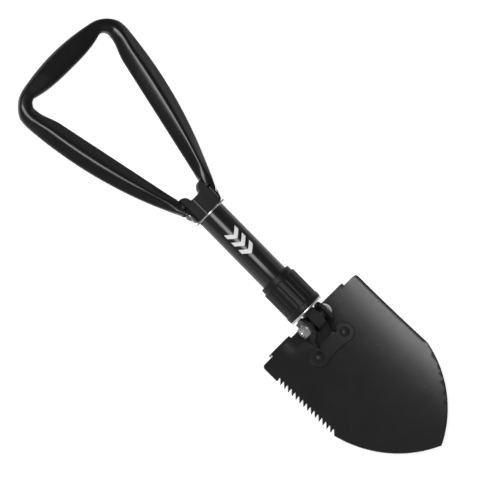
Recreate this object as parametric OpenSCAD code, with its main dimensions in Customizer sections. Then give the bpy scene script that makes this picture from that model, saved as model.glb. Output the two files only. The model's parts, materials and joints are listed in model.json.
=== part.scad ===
// Compact folding camp shovel: D-handle, tube shaft, threaded locking collar
// and a dished blade with a saw edge. Millimetres. +Y runs from the blade to
// the handle, +Z is the open (concave) side, the saw teeth are at -X.
// Modules are drawn from the blade hinge pin and then placed on the base.

/* [Shaft] */
// Outer radius of the shaft tube
tube_r = 12.6; // [11.8:0.1:12.6]
// Wall of the shaft tube
tube_wall = 1.5; // [1.2:0.1:2]
// Distance from the blade hinge pin to the handle pivot
pivot_y = 136.2; // [134:0.1:138]

/* [Collar] */
// Radius of the collar's bottom flange
collar_r = 17.1; // [16.8:0.1:17.4]
// Number of grip grooves round the collar
collar_grooves = 14; // [8:1:18]

/* [Blade] */
// Half of the blade's width
blade_hw = 57.4; // [56:0.1:58]
// Sheet thickness of the blade
blade_t = 2; // [1.6:0.1:2.2]
// Number of saw teeth
teeth = 15; // [8:1:15]
// Depth of the saw teeth
tooth_d = 4; // [2:0.1:4.2]
// Height of the boot tread behind the blade
tread_h = 8; // [5:0.5:9]

/* [Handle] */
// Half thickness of the handle's arms
arm_b = 6.4; // [5:0.1:6.6]
// Half thickness of the grip bar
grip_b = 7.6; // [6:0.1:8]

/* [Hinge] */
// Radius of the hinge bolt and of the handle pivot
pin_r = 3; // [2.5:0.1:3]
// Radial running clearance round both pins
pin_gap = 0.05; // [0.03:0.01:0.08]

/* [Hidden] */
$fn = 64;
base_y = -82.95;
base_z = 31.22;
pitch = 66.4 / 15;
// blade surface: a shallow bowl, 545 mm radius lengthwise and 239 mm across
bowl_r = 545;
cross_r = 239;
low_y = 21.8;
low_z = -22.3;
rivet_x = 15.6;
rivet_y = -24.4;
function bowl_z(x, y) = low_z + bowl_r - sqrt(pow(bowl_r - cross_r + sqrt(cross_r * cross_r - x * x), 2) - pow(y - low_y, 2));

module place() translate([0, base_y, base_z]) children();
module xcyl(r, x0, x1) translate([x0, 0, 0]) rotate([0, 90, 0]) cylinder(r = r, h = x1 - x0);
module ycyl(r, y0, y1) translate([0, y0, 0]) rotate([-90, 0, 0]) cylinder(r = r, h = y1 - y0);

// domed head: radius, height and radius of the dome's curve
module dome(r, h, c) rotate_extrude() intersection() {
    translate([0, h - c]) circle(r = c, $fn = 96);
    square([r, h]);
}

// ---- handle -------------------------------------------------------------
// outer edge of an arm is a long arc, the inner edge is straight
function arm_out(y) = -313.4 + sqrt(376 * 376 - pow(y - 315.7, 2));
function arm_in(y) = max(13, 15.2 + 0.223 * (y - 164)) + lookup(y, [[272, 0], [279, 1.6], [285, 2.7], [292, 2.6]]);
function grip_out(x) = 315 - 4 * pow(x / 39.5, 2);
function grip_in(x) = 294.4 + 4.1 * pow(abs(x) / 39.5, 3);
corner = [39.5, 292];
// each ring: centre x, centre y, outward direction, half width, half thickness, ridge 0..1
arm_rings = [for (i = [0:22]) let (y = 147.5 + i * 6.34, o = arm_out(y), n = arm_in(y))
    [(o + n) / 2, y, 0, (o - n) / 2, lookup(i, [[0, 5], [5, arm_b], [22, arm_b]]), lookup(i, [[0, 0.4], [4, 1], [20, 1], [22, 0.6]])]];
turn_rings = [for (i = [0:8]) let (t = 4 + i * 10.6, ro = lookup(t, [[0, 21.9], [25, 19.6], [45, 18.4], [70, 18.3], [90, 19]]), ri = 6.5)
    [corner[0] + cos(t) * (ro + ri) / 2, corner[1] + sin(t) * (ro + ri) / 2, t, (ro - ri) / 2, arm_b, lookup(i, [[0, 0.5], [4, 0]])]];
grip_rings = [for (i = [1:10]) let (x = 39.5 - i * 3.95, o = grip_out(x), n = grip_in(x))
    [x, (o + n) / 2, 90, (o - n) / 2, lookup(i, [[0, arm_b], [5, grip_b], [10, grip_b]]), 0]];
half_rings = concat(arm_rings, turn_rings, grip_rings);
hn = len(half_rings);
all_rings = concat(half_rings, [for (i = [hn - 2:-1:0]) let (r = half_rings[i]) [-r[0], r[1], 180 - r[2], r[3], r[4], r[5]]]);
// cross-section as fractions of the half width and half thickness
soft = [[1, 0], [0.95, 0.42], [0.8, 0.7], [0.5, 0.92], [0, 1], [-0.5, 0.92], [-0.8, 0.7], [-0.95, 0.42], [-1, 0], [-0.95, -0.42], [-0.8, -0.7], [-0.5, -0.92], [0, -1], [0.5, -0.92], [0.8, -0.7], [0.95, -0.42]];
ridged = [[1, 0], [0.96, 0.38], [0.84, 0.6], [0.46, 0.76], [0, 1], [-0.46, 0.76], [-0.84, 0.6], [-0.96, 0.38], [-1, 0], [-0.96, -0.38], [-0.84, -0.6], [-0.46, -0.76], [0, -1], [0.46, -0.76], [0.84, -0.6], [0.96, -0.38]];
function ring_pts(r) = [for (k = [0:15]) let (a = soft[k] * (1 - r[5]) + ridged[k] * r[5])
    [r[0] + cos(r[2]) * a[0] * r[3], r[1] + sin(r[2]) * a[0] * r[3], a[1] * r[4]]];
rn = len(all_rings);
// the arms and the grip are a pressed channel, open at the back
gutter = [[0.7, -1.3], [0.7, 0.25], [0.42, 0.52], [0, 0.68], [-0.42, 0.52], [-0.7, 0.25], [-0.7, -1.3]];
gutter_rings = [for (i = [1:rn - 2]) all_rings[i]];
gn = len(gutter_rings);
gutter_pts = [for (r = gutter_rings) each [for (g = gutter) [r[0] + cos(r[2]) * g[0] * r[3], r[1] + sin(r[2]) * g[0] * r[3], g[1] * r[4]]]];
gutter_faces = concat(
    [[for (k = [6:-1:0]) k]],
    [for (i = [0:gn - 2], k = [0:6]) each [[i * 7 + k, i * 7 + (k + 1) % 7, (i + 1) * 7 + k], [i * 7 + (k + 1) % 7, (i + 1) * 7 + (k + 1) % 7, (i + 1) * 7 + k]]],
    [[for (k = [0:6]) (gn - 1) * 7 + k]]);
sweep_pts = [for (i = [0:rn - 1]) each ring_pts(all_rings[i])];
sweep_faces = concat(
    [[for (k = [15:-1:0]) k]],
    [for (i = [0:rn - 2], k = [0:15]) each [[i * 16 + k, i * 16 + (k + 1) % 16, (i + 1) * 16 + k], [i * 16 + (k + 1) % 16, (i + 1) * 16 + (k + 1) % 16, (i + 1) * 16 + k]]],
    [[for (k = [0:15]) (rn - 1) * 16 + k]]);

module cheek() {
    difference() {
        translate([0, 0, -5]) linear_extrude(10) polygon([[12.95, 128], [14.6, 128], [15.4, 130.4], [17.7, 137], [20.9, 143.8], [24.3, 149], [13.4, 149], [12.95, 148]]);
        // clearance ring that lets the latch plate's ends through when folded
        difference() {
            translate([0, pivot_y, 0]) xcyl(12.2, 12, 16.2);
            translate([0, pivot_y, 0]) xcyl(8.2, 11, 17);
            // its back stays closed above the pivot
            translate([10, pivot_y, -9]) cube([8, 14, 5.6]);
        }
        // rounded end
        difference() {
            translate([10, 120, -8]) cube([10, pivot_y - 120, 16]);
            translate([0, pivot_y, 0]) xcyl(8.2, 9, 21);
        }
        // spot face and bore for the pivot
        translate([0, pivot_y, 0]) xcyl(5.3, 15.6, 24);
        translate([0, pivot_y, 0]) xcyl(pin_r + pin_gap, 12, 24);
    }
}
module d_handle() color([0.05, 0.05, 0.055]) place() {
    difference() {
        polyhedron(sweep_pts, sweep_faces, 4);
        polyhedron(gutter_pts, gutter_faces, 4);
    }
    cheek();
    mirror([1, 0, 0]) cheek();
}
module handle_pivot_rivet() color([0.45, 0.45, 0.46]) place() translate([0, pivot_y, 0]) {
    xcyl(pin_r, -17, 17);
    for (s = [0, 1]) mirror([s, 0, 0]) translate([16.25, 0, 0]) rotate([0, 90, 0]) dome(4.1, 2, 5.2);
}
module pivot_washers() color([0.6, 0.6, 0.6]) place() translate([0, pivot_y, 0])
    for (s = [0, 1]) mirror([s, 0, 0]) difference() {
        xcyl(5, 15.65, 16.25);
        xcyl(pin_r + 0.02, 15, 17);
    }

// ---- head of the shaft ----------------------------------------------------
module lobe() difference() {
    translate([4.7, 127.45, -5]) cube([7.9, 24.75, 10]);
    translate([0, 0, -6]) linear_extrude(12) difference() {
        translate([4, 145.5]) square([9, 8]);
        translate([12.6, 145.5]) circle(r = 6.7);
    }
}
module head_block() color([0.07, 0.07, 0.075]) place() difference() {
    union() {
        translate([-4.75, 127.45, -6]) cube([9.5, 17.55, 12]);
        lobe();
        mirror([1, 0, 0]) lobe();
        ycyl(4.7, 100, 130);
    }
    translate([0, pivot_y, 0]) xcyl(pin_r + pin_gap, -14, 14);
}
module stem_plug() color([0.4, 0.4, 0.41]) place() difference() {
    ycyl(tube_r - tube_wall, 100, 107);
    ycyl(4.7, 99, 108);
}
module latch_plate() color([0.86, 0.86, 0.87]) place() difference() {
    union() {
        ycyl(10.6, 126, 127.4);
        translate([-15.8, 126, -3]) cube([31.6, 1.4, 6]);
    }
    ycyl(4.85, 125, 129);
}
coil_turns = 5;
coil_steps = 18;
coil_r = 8;
wire_r = 0.9;
coil_pts = [for (i = [0:coil_turns * coil_steps]) let (a = i * 360 / coil_steps, y = 108.1 + wire_r + (125.7 - 108.1 - 2 * wire_r) * i / (coil_turns * coil_steps))
    each [for (k = [0:7]) let (b = k * 45) [cos(a) * (coil_r + wire_r * cos(b)), y + wire_r * sin(b), sin(a) * (coil_r + wire_r * cos(b))]]];
coil_n = coil_turns * coil_steps + 1;
module latch_spring() color([0.6, 0.6, 0.62]) place() polyhedron(coil_pts, concat(
    [[for (k = [0:7]) k]],
    [for (i = [0:coil_n - 2], k = [0:7]) each [[i * 8 + k, (i + 1) * 8 + k, i * 8 + (k + 1) % 8], [i * 8 + (k + 1) % 8, (i + 1) * 8 + k, (i + 1) * 8 + (k + 1) % 8]]],
    [[for (k = [7:-1:0]) (coil_n - 1) * 8 + k]]), 4);
module shaft_tube() color([0.05, 0.05, 0.055]) place() difference() {
    ycyl(tube_r, 20, 125.8);
    ycyl(tube_r - tube_wall, 19, 127);
    // open slots for the ends of the latch plate
    translate([-20, 124.3, -3.4]) cube([40, 4, 6.8]);
    translate([0, 28, 0]) xcyl(2, -14, 14);
}

// ---- lower end of the shaft -------------------------------------------------
module thread_sleeve() color([0.35, 0.35, 0.36]) place() difference() {
    ycyl(13.6, 20, 39);
    ycyl(tube_r, 19, 40);
    for (i = [0:3]) translate([0, 22.5 + i * 3.6, 0]) rotate([-90, 0, 0]) difference() {
        cylinder(r = 15, h = 1.4);
        translate([0, 0, -1]) cylinder(r = 13.1, h = 4);
    }
}
module hinge_tongue() color([0.07, 0.07, 0.075]) place() difference() {
    union() {
        ycyl(tube_r - tube_wall, 20, 36);
        intersection() {
            translate([-4.55, -8.6, -5.8]) cube([9.1, 30, 11.6]);
            union() {
                xcyl(8.6, -6, 6);
                translate([-6, 0, -7]) cube([12, 24, 14]);
            }
        }
    }
    xcyl(pin_r + pin_gap, -6, 6);
    translate([0, 28, 0]) xcyl(2, -14, 14);
}
module tongue_pin() color([0.5, 0.5, 0.5]) place() translate([0, 28, 0]) intersection() {
    xcyl(2, -13, 13);
    ycyl(tube_r, -3, 3);
}
module lock_collar() color([0.06, 0.06, 0.065]) place() difference() {
    union() {
        ycyl(collar_r, 12.6, 17.7);
        ycyl(15.2, 44, 49.6);
        translate([0, 44.7, 0]) rotate([90, 0, 0]) linear_extrude(27.1) difference() {
            circle(r = 16.6);
            for (i = [0:collar_grooves - 1]) rotate(i * 360 / collar_grooves) translate([16, -1.6]) square([2, 3.2]);
        }
    }
    ycyl(14.6, 12, 38);
    ycyl(13.8, 37, 45);
    ycyl(tube_r + 0.1, 44, 51);
}
module collar_nut() color([0.45, 0.45, 0.46]) place() difference() {
    ycyl(14.6, 18, 38);
    ycyl(13.68, 17, 39);
}
module thrust_ring() color([0.86, 0.86, 0.87]) place() difference() {
    union() {
        ycyl(16.8, 10.9, 12.5);
        ycyl(13.4, 10.9, 14.2);
    }
    ycyl(8, 10, 16);
}

// ---- blade hinge --------------------------------------------------------------
module ear() {
    intersection() {
        xcyl(10.6, 8.7, 11.5);
        translate([8, -11, -11]) cube([4, 21.1, 21.1]);
    }
    translate([8.7, 0, 0]) rotate([90, 0, 90]) linear_extrude(2.8) polygon([[8.5, -6], [8.5, -15.5], [-8, -15.5], [-13, -20.5], [-21, -20.5], [-17.2, -15.4], [-11.9, -9.4], [-10.3, 2.4], [0, 0]]);
}
// floor of the bracket's channel, running down onto the strap
module web() translate([-11.4, 0, 0]) rotate([90, 0, 90]) linear_extrude(22.8)
    polygon([[8.5, -13.3], [8.5, -15.5], [-8, -15.5], [-13, -20.5], [-19.5, -20.5], [-16, -17.4], [-10.5, -13.3]]);
module strap_outline() {
    for (s = [-1, 1]) translate([s * rivet_x, rivet_y]) circle(r = 8.6);
    difference() {
        translate([-rivet_x, -32.2]) square([2 * rivet_x, 15.4]);
        translate([0, -113.4]) circle(r = 82);
    }
    translate([-11.5, -20]) square([23, 6]);
}
// shell of the blade's own curvature between two depths below its open face
module bowl(t0, t1) translate([0, low_y, low_z + bowl_r]) rotate([0, 90, 0])
    rotate_extrude($fn = 720) intersection() {
        difference() {
            translate([bowl_r - cross_r, 0]) circle(r = cross_r + t1, $fn = 360);
            translate([bowl_r - cross_r, 0]) circle(r = cross_r + t0, $fn = 360);
        }
        translate([bowl_r - 30, -70]) square([60, 140]);
    }
// places children on the blade's open face at a rivet, square to the face
module at_rivet(s) translate([s * rivet_x, rivet_y, bowl_z(rivet_x, rivet_y) + 2.2]) rotate([-4.86, -3.74 * s, 0]) children();
module hinge_bracket() color([0.07, 0.07, 0.075]) place() difference() {
    union() {
        intersection() {
            translate([0, 0, -40]) linear_extrude(40) strap_outline();
            bowl(-2.2, 0);
        }
        difference() {
            union() {
                ear();
                mirror([1, 0, 0]) ear();
                web();
            }
            // the ears' feet follow the strap's curve
            intersection() {
                bowl(-1, 20);
                translate([-20, -40, -60]) cube([40, 40, 60]);
            }
        }
    }
    xcyl(pin_r, -13, 13);
    for (s = [-1, 1]) at_rivet(s) translate([0, 0, -8]) cylinder(r = 2.55, h = 16);
}
module hinge_bolt() color([0.75, 0.75, 0.76]) place() {
    xcyl(pin_r, -18.2, 13);
    translate([12.5, 0, 0]) rotate([0, 90, 0]) dome(5.4, 4.6, 6.6);
}
module hinge_nut() color([0.7, 0.7, 0.71]) place() difference() {
    translate([-17.3, 0, 0]) rotate([0, 90, 0]) cylinder(r = 5.9, h = 4.8, $fn = 6);
    xcyl(pin_r, -19, -12);
}
module hinge_washers() color([0.7, 0.7, 0.71]) place() for (s = [0, 1]) mirror([s, 0, 0]) difference() {
    xcyl(5.7, 11.5, 12.5);
    xcyl(pin_r, 11, 13);
}
module hinge_spacers() color([0.8, 0.8, 0.81]) place() for (s = [0, 1]) mirror([s, 0, 0]) difference() {
    xcyl(4.3, 4.8, 8.7);
    xcyl(pin_r, 4, 9);
}
module bracket_rivets() color([0.1, 0.1, 0.105]) place() for (s = [-1, 1]) at_rivet(s) {
    translate([0, 0, -5]) cylinder(r = 2.5, h = 5.5);
    translate([0, 0, 0.09]) dome(4.3, 2.5, 5.2);
    translate([0, 0, -5.8]) cylinder(r = 4.1, h = 1.52);
}

// ---- blade ----------------------------------------------------------------------
module saw_gaps() for (i = [0:teeth - 1]) translate([-blade_hw, -14 - i * pitch])
    polygon([[-3, 0.9], [-0.01, 0.1], [tooth_d, 0.75], [tooth_d + 0.1, 0.3], [tooth_d, -0.15], [0.35, -pitch + 0.95], [-0.01, -pitch + 0.6], [-3, -pitch + 0.9]]);
module blade_outline() difference() {
    union() {
        // straight shoulders
        translate([-blade_hw + 3, -80.4]) square([2 * blade_hw - 6, 84]);
        translate([-blade_hw, -80.4]) square([2 * blade_hw, 81]);
        for (s = [-1, 1]) translate([s * (blade_hw - 3), 0.6]) circle(r = 3);
        for (s = [-1, 1]) translate([s * 32.15 - 11.65, 0]) square([23.3, 6.1]);
        // pointed end from two arcs
        intersection() {
            translate([-blade_hw, -151]) square([2 * blade_hw, 71]);
            translate([-41, -56.7]) circle(r = 101.1, $fn = 180);
            translate([41, -56.7]) circle(r = 101.1, $fn = 180);
        }
    }
    saw_gaps();
}
module blade() color([0.09, 0.09, 0.095]) place() difference() {
    // the boot treads are the full depth of the thick shell, turned to the back
    intersection() {
        translate([0, 0, -60]) linear_extrude(90) blade_outline();
        bowl(0, blade_t + tread_h);
    }
    // everywhere below the treads only the sheet is left
    intersection() {
        bowl(blade_t, blade_t + tread_h + 3);
        translate([-70, -170, -60]) cube([140, 174.1, 90]);
    }
    for (s = [-1, 1]) at_rivet(s) translate([0, 0, -8]) cylinder(r = 2.55, h = 16);
}

d_handle();
handle_pivot_rivet();
pivot_washers();
head_block();
stem_plug();
latch_plate();
latch_spring();
shaft_tube();
thread_sleeve();
hinge_tongue();
tongue_pin();
lock_collar();
collar_nut();
thrust_ring();
hinge_bracket();
hinge_bolt();
hinge_nut();
hinge_washers();
hinge_spacers();
bracket_rivets();
blade();
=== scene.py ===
import json
import math

import bmesh
import bpy
from mathutils import Matrix, Vector


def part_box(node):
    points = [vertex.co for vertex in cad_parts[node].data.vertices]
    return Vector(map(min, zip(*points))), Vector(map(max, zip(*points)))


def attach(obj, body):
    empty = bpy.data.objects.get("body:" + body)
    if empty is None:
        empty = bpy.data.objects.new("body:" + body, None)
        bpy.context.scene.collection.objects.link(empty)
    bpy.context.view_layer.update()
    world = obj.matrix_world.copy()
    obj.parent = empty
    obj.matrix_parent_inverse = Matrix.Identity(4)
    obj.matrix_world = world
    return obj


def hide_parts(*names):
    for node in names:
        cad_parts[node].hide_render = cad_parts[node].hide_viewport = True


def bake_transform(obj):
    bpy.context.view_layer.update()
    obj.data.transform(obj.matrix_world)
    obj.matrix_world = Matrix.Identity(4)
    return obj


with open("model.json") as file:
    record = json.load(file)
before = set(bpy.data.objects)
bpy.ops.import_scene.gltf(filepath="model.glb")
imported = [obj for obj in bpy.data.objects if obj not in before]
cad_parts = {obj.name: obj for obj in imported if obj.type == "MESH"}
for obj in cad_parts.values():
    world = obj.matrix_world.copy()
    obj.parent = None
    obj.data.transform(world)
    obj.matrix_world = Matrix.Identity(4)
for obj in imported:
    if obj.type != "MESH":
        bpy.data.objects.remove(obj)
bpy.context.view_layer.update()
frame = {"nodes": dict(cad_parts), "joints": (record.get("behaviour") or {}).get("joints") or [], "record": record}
nodes = frame["nodes"]
joints = {j["name"]: j for j in frame["joints"]}
HINGE = Vector(joints["blade_fold"]["pos_m"])
PIVOT = Vector(joints["handle_fold"]["pos_m"])


def at(x, y, z):
    """A point given in millimetres from the blade hinge pin, in the row frame."""
    return Vector((x / 1000, y / 1000 + HINGE.y, z / 1000 + HINGE.z))


view = bpy.context.scene.view_settings
view.view_transform = "Standard"
view.look = "None"
view.exposure = 0.0
view.gamma = 1.0

# ---------------------------------------------------------------- camera
cam_data = bpy.data.cameras.new("camera")
cam = bpy.data.objects.new("camera", cam_data)
bpy.context.scene.collection.objects.link(cam)
bpy.context.scene.camera = cam
right = Vector((0.6836, -0.7015, 0.2017))
down = Vector((-0.6792, -0.7125, -0.1762))
ahead = Vector((0.2673, -0.0165, -0.9635))
rot = Matrix((right, -down, -ahead)).transposed()
cam.matrix_world = Matrix.Translation(Vector((-2.9626, 0.1929, 10.716))) @ rot.to_4x4()
cam_data.sensor_width = 36
cam_data.lens = 13202.5 / 480 * 36
cam_data.clip_start, cam_data.clip_end = 0.5, 100


# ---------------------------------------------------------------- materials
def new_mat(name, base, rough, metal=0.0, coat=0.0, spec=0.5):
    m = bpy.data.materials.new(name)
    m.use_nodes = True
    nt = m.node_tree
    b = nt.nodes["Principled BSDF"]
    b.inputs["Base Color"].default_value = (*base, 1)
    b.inputs["Roughness"].default_value = rough
    b.inputs["Metallic"].default_value = metal
    b.inputs["Coat Weight"].default_value = coat
    b.inputs["Specular IOR Level"].default_value = spec
    return m, nt, b


def coords(nt):
    return nt.nodes.new("ShaderNodeTexCoord").outputs["Object"]


def noise(nt, scale, detail=4.0, rough=0.55, stretch=None):
    n = nt.nodes.new("ShaderNodeTexNoise")
    n.inputs["Scale"].default_value = scale
    n.inputs["Detail"].default_value = detail
    n.inputs["Roughness"].default_value = rough
    c = coords(nt)
    if stretch:
        mp = nt.nodes.new("ShaderNodeMapping")
        mp.inputs["Scale"].default_value = stretch
        nt.links.new(c, mp.inputs["Vector"])
        c = mp.outputs["Vector"]
    nt.links.new(c, n.inputs["Vector"])
    return n.outputs["Fac"]


def ramp(nt, fac, stops):
    r = nt.nodes.new("ShaderNodeValToRGB")
    while len(r.color_ramp.elements) < len(stops):
        r.color_ramp.elements.new(0.5)
    for e, (p, c) in zip(r.color_ramp.elements, stops):
        e.position = p
        e.color = (*c, 1) if len(c) == 3 else c
    nt.links.new(fac, r.inputs["Fac"])
    return r.outputs["Color"]


def to_range(nt, fac, lo, hi):
    r = nt.nodes.new("ShaderNodeMapRange")
    r.inputs["From Min"].default_value = 0.3
    r.inputs["From Max"].default_value = 0.7
    r.inputs["To Min"].default_value = lo
    r.inputs["To Max"].default_value = hi
    nt.links.new(fac, r.inputs["Value"])
    return r.outputs["Result"]


def bump(nt, b, heights):
    """heights: (factor, strength, distance in metres), chained."""
    last = None
    for fac, strength, dist in heights:
        n = nt.nodes.new("ShaderNodeBump")
        n.inputs["Strength"].default_value = strength
        n.inputs["Distance"].default_value = dist
        nt.links.new(fac, n.inputs["Height"])
        if last is not None:
            nt.links.new(last, n.inputs["Normal"])
        last = n.outputs["Normal"]
    nt.links.new(last, b.inputs["Normal"])


def add_mul(nt, a, b_, op="MULTIPLY"):
    n = nt.nodes.new("ShaderNodeMath")
    n.operation = op
    nt.links.new(a, n.inputs[0])
    if isinstance(b_, (int, float)):
        n.inputs[1].default_value = b_
    else:
        nt.links.new(b_, n.inputs[1])
    return n.outputs[0]


def powder_coat(name, dark, light, r_lo, r_hi, peel, peel_dist, spec=0.5):
    """Black powder coat: orange-peel bump, cloudy tone and gloss."""
    m, nt, b = new_mat(name, dark, r_lo, spec=spec)
    cloud = noise(nt, 38, 5)
    nt.links.new(ramp(nt, cloud, [(0.32, dark), (0.68, light)]), b.inputs["Base Color"])
    mixed = add_mul(nt, add_mul(nt, noise(nt, 60, 3), 0.6), add_mul(nt, noise(nt, peel * 0.4, 2), 0.4), "ADD")
    nt.links.new(to_range(nt, mixed, r_lo, r_hi), b.inputs["Roughness"])
    bump(nt, b, [(noise(nt, peel, 2, 0.4), 0.35, peel_dist), (noise(nt, peel * 3.2, 2, 0.5), 0.25, peel_dist * 0.4)])
    return m


def steel(name, base, r_lo, r_hi, stretch, metal=1.0):
    m, nt, b = new_mat(name, base, r_lo, metal=metal)
    dark = tuple(c * 0.78 for c in base)
    nt.links.new(ramp(nt, noise(nt, 160, 6), [(0.3, dark), (0.7, base)]), b.inputs["Base Color"])
    grain = noise(nt, 420, 5, 0.6, stretch)
    nt.links.new(to_range(nt, grain, r_lo, r_hi), b.inputs["Roughness"])
    bump(nt, b, [(grain, 0.25, 0.000015)])
    return m


M = {
    "handle_paint": powder_coat("handle_paint", (0.0065, 0.0065, 0.007), (0.009, 0.009, 0.0094), 0.19, 0.26, 900, 0.00002),
    "shaft_paint": powder_coat("shaft_paint", (0.0105, 0.0105, 0.011), (0.0135, 0.0135, 0.014), 0.17, 0.24, 1100, 0.000018),
    "blade_paint": powder_coat("blade_paint", (0.019, 0.019, 0.0195), (0.0235, 0.0235, 0.0242), 0.22, 0.28, 1500, 0.00002, 0.45),
    "black_oxide": powder_coat("black_oxide", (0.011, 0.011, 0.0115), (0.017, 0.017, 0.0175), 0.36, 0.5, 700, 0.00003, 0.36),
    "dark_steel": steel("dark_steel", (0.2, 0.2, 0.205), 0.34, 0.5, (1, 6, 1)),
    "bright_steel": steel("bright_steel", (0.74, 0.74, 0.76), 0.26, 0.4, (6, 1, 1), 0.85),
}


def nylon():
    """Glass-filled nylon: matt, finely sparked, with a soft sheen."""
    m, nt, b = new_mat("collar_plastic", (0.012, 0.012, 0.013), 0.42, spec=0.22)
    nt.links.new(ramp(nt, noise(nt, 90, 5), [(0.3, (0.0075, 0.0075, 0.008)), (0.7, (0.0115, 0.0115, 0.012))]), b.inputs["Base Color"])
    nt.links.new(to_range(nt, noise(nt, 500, 3), 0.38, 0.48), b.inputs["Roughness"])
    bump(nt, b, [(noise(nt, 1600, 3, 0.6), 0.4, 0.00004)])
    return m


M["collar_plastic"] = nylon()


def print_white():
    m, nt, b = new_mat("print_white", (0.9, 0.9, 0.9), 0.45)
    nt.links.new(ramp(nt, noise(nt, 1400, 4), [(0.2, (0.82, 0.82, 0.82)), (0.5, (0.93, 0.93, 0.93))]), b.inputs["Base Color"])
    bump(nt, b, [(noise(nt, 1200, 2), 0.2, 0.00004)])
    return m


M["print_white"] = print_white()

slot_of = {s["node"]: s["material_slot"] for s in frame["record"]["subparts"]}
BEVEL = {"blade": 0.00022, "shaft_tube": 0.0002, "lock_collar": 0.00035, "hinge_bracket": 0.0003, "hinge_tongue": 0.0004,
         "head_block": 0.0007, "latch_plate": 0.0002, "thrust_ring": 0.0003, "hinge_bolt": 0.0002, "hinge_nut": 0.0003,
         "hinge_washers": 0.00012, "hinge_spacers": 0.00015, "bracket_rivets": 0.00015, "handle_pivot_rivet": 0.00015,
         "pivot_washers": 0.0001}


def smooth(obj, angle):
    for p in obj.data.polygons:
        p.use_smooth = True
    obj.data.set_sharp_from_angle(angle=math.radians(angle))


for name, obj in nodes.items():
    obj.data.materials.clear()
    obj.data.materials.append(M[slot_of[name]])
    if name in BEVEL:
        w = obj.modifiers.new("weld", "WELD")
        w.merge_threshold = 1e-6
        bv = obj.modifiers.new("bevel", "BEVEL")
        bv.width = BEVEL[name]
        bv.segments = 2
        bv.limit_method = "ANGLE"
        bv.angle_limit = math.radians(38)
        bv.harden_normals = False
        bv.use_clamp_overlap = True


def link(obj):
    bpy.context.scene.collection.objects.link(obj)
    return obj


def mesh_obj(name, verts, faces, mat):
    me = bpy.data.meshes.new(name)
    me.from_pydata([tuple(v) for v in verts], [], faces)
    me.update()
    o = link(bpy.data.objects.new(name, me))
    me.materials.append(M[mat])
    return o


def bake_mods(obj):
    """Applies an object's modifiers to its mesh."""
    bpy.context.view_layer.update()
    dg = bpy.context.evaluated_depsgraph_get()
    me = bpy.data.meshes.new_from_object(obj.evaluated_get(dg))
    obj.modifiers.clear()
    old = obj.data
    obj.data = me
    bpy.data.meshes.remove(old)


# ---------------------------------------------------------------- handle
def lerp_tab(x, tab):
    if x <= tab[0][0]:
        return tab[0][1]
    for (x0, y0), (x1, y1) in zip(tab, tab[1:]):
        if x <= x1:
            return y0 + (y1 - y0) * (x - x0) / (x1 - x0)
    return tab[-1][1]


def arm_out(y):
    return -313.4 + math.sqrt(376 * 376 - (y - 315.7) ** 2)


def arm_in(y):
    return max(13.0, 15.2 + 0.223 * (y - 164)) + lerp_tab(y, [(272, 0), (279, 1.6), (285, 2.7), (292, 2.6)])


def grip_out(x):
    return 315 - 4 * (x / 39.5) ** 2


def grip_in(x):
    return 294.4 + 4.1 * (abs(x) / 39.5) ** 3


CHEEK = [(128, 14.6), (130.4, 15.5), (133.5, 16.5), (137, 17.7), (140.4, 19.2), (143.8, 20.9), (149, 24.0)]
PY = (PIVOT.y - HINGE.y) * 1000


def handle_rings():
    """Rings from the right pivot round the grip to the left pivot.

    Each is x, y, direction, half width, half depth, share of ridge, share of open channel.
    """
    half = []
    for y in (128.04, 128.3, 128.9, 130.0, 131.6, 134, 137, 140, 143):
        o, q = lerp_tab(y, CHEEK), 12.97
        drop = max(0.0, PY - y)
        half.append(((o + q) / 2, y, 0.0, (o - q) / 2, min(5.0, math.sqrt(max(0.5, 8.2 ** 2 - drop ** 2))), 0.0, 0.0))
    n = 34
    for i in range(n + 1):
        y = 146.5 + (287 - 146.5) * i / n
        o, q = arm_out(y), arm_in(y)
        half.append(((o + q) / 2, y, 0.0, (o - q) / 2, lerp_tab(i, [(0, 5.0), (8, 6.4)]),
                     lerp_tab(i, [(0, 0.0), (1, 0.35), (4, 1), (n - 4, 1), (n - 1, 0.8), (n, 0.6)]), lerp_tab(i, [(0, 0), (1, 0.1), (4, 1)])))
    for i in range(12):
        t = 4 + i * 7.7
        ro = lerp_tab(t, [(0, 21.9), (25, 19.6), (45, 18.4), (70, 18.3), (90, 19)])
        a = math.radians(t)
        half.append((39.5 + math.cos(a) * (ro + 6.5) / 2, 292 + math.sin(a) * (ro + 6.5) / 2, t, (ro - 6.5) / 2, 6.4,
                     lerp_tab(i, [(0, 0.5), (4, 0)]), 1.0))
    for i in range(1, 15):
        x = 39.5 - i * 39.5 / 14
        o, q = grip_out(x), grip_in(x)
        half.append((x, (o + q) / 2, 90.0, (o - q) / 2, lerp_tab(i, [(0, 6.4), (7, 7.6)]), 0.0, 1.0))
    return half + [(-r[0], r[1], 180 - r[2], *r[3:]) for r in half[-2::-1]]


# pressed arm: a narrow raised ridge between two shallow flanks with rolled edges
TOP_RIDGE = [(1.0, -0.1), (0.985, 0.06), (0.93, 0.2), (0.80, 0.345), (0.56, 0.61), (0.34, 0.84), (0.22, 0.94), (0.11, 0.98), (0.0, 1.0),
             (-0.11, 0.965), (-0.22, 0.885), (-0.34, 0.79), (-0.56, 0.585), (-0.80, 0.345), (-0.93, 0.2), (-0.985, 0.06), (-1.0, -0.1)]
TOP_SOFT = [(1.0, 0.0), (0.995, 0.38), (0.965, 0.62), (0.88, 0.81), (0.72, 0.925), (0.53, 0.98), (0.35, 1.01), (0.17, 1.025), (0.0, 1.03),
            (-0.17, 1.025), (-0.35, 1.01), (-0.53, 0.98), (-0.72, 0.925), (-0.88, 0.81), (-0.965, 0.62), (-0.995, 0.38), (-1.0, 0.0)]
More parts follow.
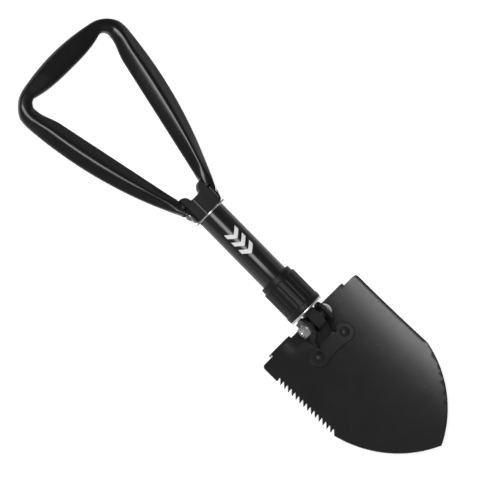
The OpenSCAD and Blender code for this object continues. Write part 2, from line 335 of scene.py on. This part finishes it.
# the cheeks are flat on the side towards the head block
TOP_CHEEK = TOP_SOFT[:9] + [(-0.2, 1.04), (-0.45, 1.03), (-0.7, 1.02), (-0.86, 1.0), (-0.95, 0.95), (-0.99, 0.84), (-1.0, 0.5), (-1.0, 0.0)]
UNDER = [(-0.98, -0.4), (-0.86, -0.74), (-0.76, -0.78), (-0.70, -0.68), (-0.70, 0.1), (-0.42, 0.34), (0.0, 0.45), (0.42, 0.34), (0.70, 0.1), (0.70, -0.68), (0.76, -0.78), (0.86, -0.74), (0.98, -0.4)]
SOLID = [(-1.0, -0.5), (-0.995, -0.86), (-0.95, -0.96), (-0.84, -1.0), (-0.60, -1.02), (-0.30, -1.02), (0.0, -1.02), (0.25, -1.01), (0.50, -0.96), (0.70, -0.88), (0.84, -0.76), (0.93, -0.6), (0.99, -0.36)]


def mix_pts(p, q, k):
    return [(a[0] * k + b[0] * (1 - k), a[1] * k + b[1] * (1 - k)) for a, b in zip(p, q)]


def make_handle_bow():
    rings = handle_rings()
    verts, faces = [], []
    n = len(TOP_RIDGE) + len(UNDER)
    for x, y, t, a, b, k, g in rings:
        c, s = math.cos(math.radians(t)), math.sin(math.radians(t))
        for f, h in mix_pts(TOP_RIDGE, TOP_CHEEK if g < 0.5 else TOP_SOFT, k) + mix_pts(UNDER, SOLID, g):
            verts.append(at(x + c * f * a, y + s * f * a, h * b))
    for i in range(len(rings) - 1):
        for j in range(n):
            k = (j + 1) % n
            faces.append((i * n + j, i * n + k, (i + 1) * n + k, (i + 1) * n + j))
    faces.append(tuple(range(n - 1, -1, -1)))
    faces.append(tuple((len(rings) - 1) * n + j for j in range(n)))
    o = mesh_obj("handle_bow", verts, faces, "handle_paint")
    recalc(o)
    sub = o.modifiers.new("sub", "SUBSURF")
    sub.levels = sub.render_levels = 2
    bake_mods(o)
    # seats and bores of the pivot, and the slots that the latch plate's ends pass through
    for side in (1, -1):
        ring = cylinder_x("t0", 12.2, side * 12, side * 16.2, PY, 0)
        core = cylinder_x("t1", 8.2, side * 11, side * 17, PY, 0)
        boolean(ring, core)
        back = mesh_obj("t2", [at(side * x, y, z) for z in (-9, -3.4) for x, y in ((10, PY), (19, PY), (19, PY + 14), (10, PY + 14))],
                        [(3, 2, 1, 0), (4, 5, 6, 7), (0, 1, 5, 4), (1, 2, 6, 5), (2, 3, 7, 6), (3, 0, 4, 7)], "handle_paint")
        recalc(back)
        boolean(ring, back)
        boolean(o, ring)
        spot = cylinder_x("t3", 5.3, side * 15.6, side * 25, PY, 0)
        boolean(o, spot)
        bore = cylinder_x("t4", 3.05, side * 11, side * 25, PY, 0)
        boolean(o, bore)
        for tool in (ring, core, back, spot, bore):
            bpy.data.objects.remove(tool)
    smooth(o, 44)
    return o


def recalc(o):
    bm = bmesh.new()
    bm.from_mesh(o.data)
    bmesh.ops.recalc_face_normals(bm, faces=bm.faces)
    bm.to_mesh(o.data)
    bm.free()


def cylinder_x(name, r, x0, x1, cy, cz, seg=96):
    verts, faces = [], []
    for x in (x0, x1):
        for i in range(seg):
            a = 2 * math.pi * i / seg
            verts.append(at(x, cy + r * math.cos(a), cz + r * math.sin(a)))
    for i in range(seg):
        j = (i + 1) % seg
        faces.append((i, j, seg + j, seg + i))
    faces.append(tuple(range(seg - 1, -1, -1)))
    faces.append(tuple(range(seg, 2 * seg)))
    o = mesh_obj(name, verts, faces, "handle_paint")
    bm = bmesh.new()
    bm.from_mesh(o.data)
    bmesh.ops.recalc_face_normals(bm, faces=bm.faces)
    bm.to_mesh(o.data)
    bm.free()
    return o


def boolean(obj, tool, op="DIFFERENCE"):
    m = obj.modifiers.new("bool", "BOOLEAN")
    m.operation = op
    m.solver = "EXACT"
    m.object = tool
    bake_mods(obj)


bow = make_handle_bow()
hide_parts("d_handle")
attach(bow, "handle")


# ---------------------------------------------------------------- locking collar
def make_collar():
    """The moulded collar: flange, fluted grip and plain neck, hollow like the CAD node."""
    flutes, per = 14, 26
    cols = flutes * per
    outer = [(12.62, 16.4, 0), (12.75, 16.8, 0), (13.1, 17.05, 0), (13.7, 17.09, 0), (15.2, 17.09, 0), (16.7, 17.09, 0), (17.3, 17.02, 0), (17.65, 16.8, 0), (17.85, 16.62, 0.0)]
    outer += [(18.2 + i * 0.35, 16.6, min(1.0, (i + 0.5) / 4.5) ** 0.5) for i in range(5)]
    outer += [(20 + i * 2.3, 16.6, 1.0) for i in range(10)]
    outer += [(41.9 + i * 0.35, 16.6, min(1.0, (4.5 - i) / 4.5) ** 0.5) for i in range(5)]
    outer += [(43.7, 16.58, 0), (44.1, 16.45, 0), (44.45, 16.1, 0), (44.6, 15.6, 0), (44.75, 15.3, 0), (45.1, 15.2, 0), (47, 15.2, 0), (48.8, 15.2, 0), (49.3, 15.1, 0), (49.55, 14.85, 0), (49.6, 14.5, 0)]
    inner = [(49.6, 12.9, 0), (49.5, 12.72, 0), (49.3, 12.7, 0), (45, 12.7, 0), (45, 13.8, 0), (38, 13.8, 0), (38, 14.6, 0), (12.62, 14.6, 0)]
    prof = outer + inner
    m = len(prof)
    verts, faces = [], []
    for i in range(cols):
        a = 2 * math.pi * (i + 0.5 * per) / cols
        u = abs(((i / per) % 1.0) - 0.5) * 2 * 3.72
        deep = 0.36 * (1 - min(1.0, u / 1.5) ** 2.4)
        for y, r, share in prof:
            rr = r - deep * share
            verts.append(at(rr * math.sin(a), y, rr * math.cos(a)))
    for i in range(cols):
        k = (i + 1) % cols
        for j in range(m):
            q = (j + 1) % m
            faces.append((i * m + j, i * m + q, k * m + q, k * m + j))
    o = mesh_obj("collar_grip", verts, faces, "collar_plastic")
    recalc(o)
    smooth(o, 40)
    return o


grip = make_collar()
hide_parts("lock_collar")
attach(grip, "collar")


# ---------------------------------------------------------------- printed mark on the tube
def make_mark():
    """Three plain chevrons printed on the tube, on the side that faces up."""
    r_mm = (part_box("shaft_tube")[1].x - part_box("shaft_tube")[0].x) * 500
    verts, faces = [], []

    def patch(quads, r0, r1):
        for q in quads:
            base = len(verts)
            m = 10
            for i in range(m + 1):
                for (s0, y0), (s1, y1) in ((q[0], q[1]), (q[3], q[2])):
                    s = s0 + (s1 - s0) * i / m
                    y = y0 + (y1 - y0) * i / m
                    a = s / r_mm + math.radians(-10)
                    for r in (r0, r1):
                        verts.append(at(r * math.sin(a), y, r * math.cos(a)))
            for i in range(m):
                b0 = base + i * 4
                lo0, lo1, hi0, hi1 = b0, b0 + 1, b0 + 2, b0 + 3
                nlo0, nlo1, nhi0, nhi1 = b0 + 4, b0 + 5, b0 + 6, b0 + 7
                faces.append((lo1, nlo1, nhi1, hi1))
                faces.append((lo0, hi0, nhi0, nlo0))
                faces.append((lo0, nlo0, nlo1, lo1))
                faces.append((hi0, hi1, nhi1, nhi0))
            faces.append((base, base + 1, base + 3, base + 2))
            e = base + m * 4
            faces.append((e, e + 2, e + 3, e + 1))

    for k in range(3):
        y = 105.0 - k * 8.6
        patch([[(-6.6, y), (0.0, y - 5.2), (0.0, y - 9.6), (-6.6, y - 4.4)]], r_mm + 0.01, r_mm + 0.07)
        patch([[(0.0, y - 5.2), (6.6, y), (6.6, y - 4.4), (0.0, y - 9.6)]], r_mm + 0.01, r_mm + 0.07)
    o = mesh_obj("tube_mark", verts, faces, "print_white")
    bm = bmesh.new()
    bm.from_mesh(o.data)
    bmesh.ops.recalc_face_normals(bm, faces=bm.faces)
    bm.to_mesh(o.data)
    bm.free()
    smooth(o, 40)
    return o


mark = make_mark()
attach(mark, "shaft")

# ---------------------------------------------------------------- latch spring
def make_spring():
    """The coil under the latch plate, drawn at one fixed length; the real coil shortens as the plate slides."""
    seg, sides = 40, 12
    n = 5 * seg
    verts, faces = [], []
    for i in range(n + 1):
        a, y = 2 * math.pi * i / seg, 109 + 15.8 * i / n
        for k in range(sides):
            b = 2 * math.pi * k / sides
            r = 8 + 0.88 * math.cos(b)
            verts.append(at(math.cos(a) * r, y + 0.88 * math.sin(b), math.sin(a) * r))
    for i in range(n):
        for k in range(sides):
            q = (k + 1) % sides
            faces.append((i * sides + k, (i + 1) * sides + k, (i + 1) * sides + q, i * sides + q))
    faces += [tuple(range(sides - 1, -1, -1)), tuple(n * sides + k for k in range(sides))]
    o = mesh_obj("spring_coil", verts, faces, slot_of["latch_spring"])
    recalc(o)
    smooth(o, 50)
    return o


coil = make_spring()
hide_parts("latch_spring")
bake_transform(coil)


# ---------------------------------------------------------------- worn edge of the middle tab
edge = [(-4.85, 5.2), (-4.85, 5.86), (-4.05, 6.09), (-3.9, 6.02), (-3.9, 5.2)]
hem = mesh_obj("tab_edge", [at(x, y, z) for y in (127.7, 144.7) for x, z in edge],
               [(0, 1, 2, 3, 4), (9, 8, 7, 6, 5)] + [(i, 5 + i, 5 + (i + 1) % 5, (i + 1) % 5) for i in range(5)], "handle_paint")
recalc(hem)
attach(hem, "shaft")


# ---------------------------------------------------------------- floor and light
bpy.ops.mesh.primitive_plane_add(size=60, location=(0, 0, -0.0002))
floor = bpy.context.active_object
floor.name = "floor"
fm, fnt, fb = new_mat("floor", (0.88, 0.88, 0.88), 0.9, spec=0.0)
fb.inputs["Emission Color"].default_value = (1, 1, 1, 1)
# bright to look at, dimmer as a light on the object from below
glow = fnt.nodes.new("ShaderNodeMapRange")
glow.inputs["To Min"].default_value = 0.3
glow.inputs["To Max"].default_value = 0.72
fnt.links.new(fnt.nodes.new("ShaderNodeLightPath").outputs["Is Camera Ray"], glow.inputs["Value"])
fnt.links.new(glow.outputs["Result"], fb.inputs["Emission Strength"])
floor.data.materials.append(fm)

world = bpy.data.worlds.new("studio")
bpy.context.scene.world = world
world.use_nodes = True
wnt = world.node_tree
# pale walls round a dim ceiling
sky = wnt.nodes.new("ShaderNodeSeparateXYZ")
wnt.links.new(wnt.nodes.new("ShaderNodeTexCoord").outputs["Generated"], sky.inputs["Vector"])
wnt.links.new(ramp(wnt, sky.outputs["Z"], [(0.0, (0.36, 0.36, 0.36)), (0.45, (0.24, 0.24, 0.24)), (0.72, (0.1, 0.1, 0.1))]),
              wnt.nodes["Background"].inputs["Color"])
seen = wnt.nodes.new("ShaderNodeBackground")
seen.inputs["Color"].default_value = (1, 1, 1, 1)
mix = wnt.nodes.new("ShaderNodeMixShader")
wnt.links.new(wnt.nodes.new("ShaderNodeLightPath").outputs["Is Camera Ray"], mix.inputs["Fac"])
wnt.links.new(wnt.nodes["Background"].outputs["Background"], mix.inputs[1])
wnt.links.new(seen.outputs["Background"], mix.inputs[2])
wnt.links.new(mix.outputs["Shader"], wnt.nodes["World Output"].inputs["Surface"])


def area(name, direction, dist, size_x, size_y, radiance):
    """A softbox that faces the object, by its own brightness."""
    ld = bpy.data.lights.new(name, "AREA")
    ld.shape = "RECTANGLE"
    ld.size, ld.size_y = size_x, size_y
    ld.energy = radiance * math.pi * size_x * size_y
    o = link(bpy.data.objects.new(name, ld))
    d = Vector(direction).normalized()
    o.location = Vector((0, 0, 0.02)) + d * dist
    across = Vector((0, 1, 0)).cross(d).normalized() if abs(d.y) < 0.9 else Vector((1, 0, 0)).cross(d).normalized()
    o.rotation_mode = "QUATERNION"
    o.rotation_quaternion = Matrix((across, d.cross(across), d)).transposed().to_quaternion()
    o.visible_camera = False
    return o


area("key", (-0.29, 0.17, 0.94), 2.4, 1.0, 1.6, 6.9)
area("rim_right", (0.93, -0.15, 0.34), 2.4, 1.2, 0.8, 0.4)
area("rim_back", (0.10, 0.93, 0.36), 2.4, 1.2, 0.8, 0.8)
area("rim_front", (-0.10, -0.93, 0.36), 2.4, 1.2, 0.8, 0.8)
area("rim_left", (-0.93, -0.10, 0.36), 2.4, 1.2, 0.8, 0.3)
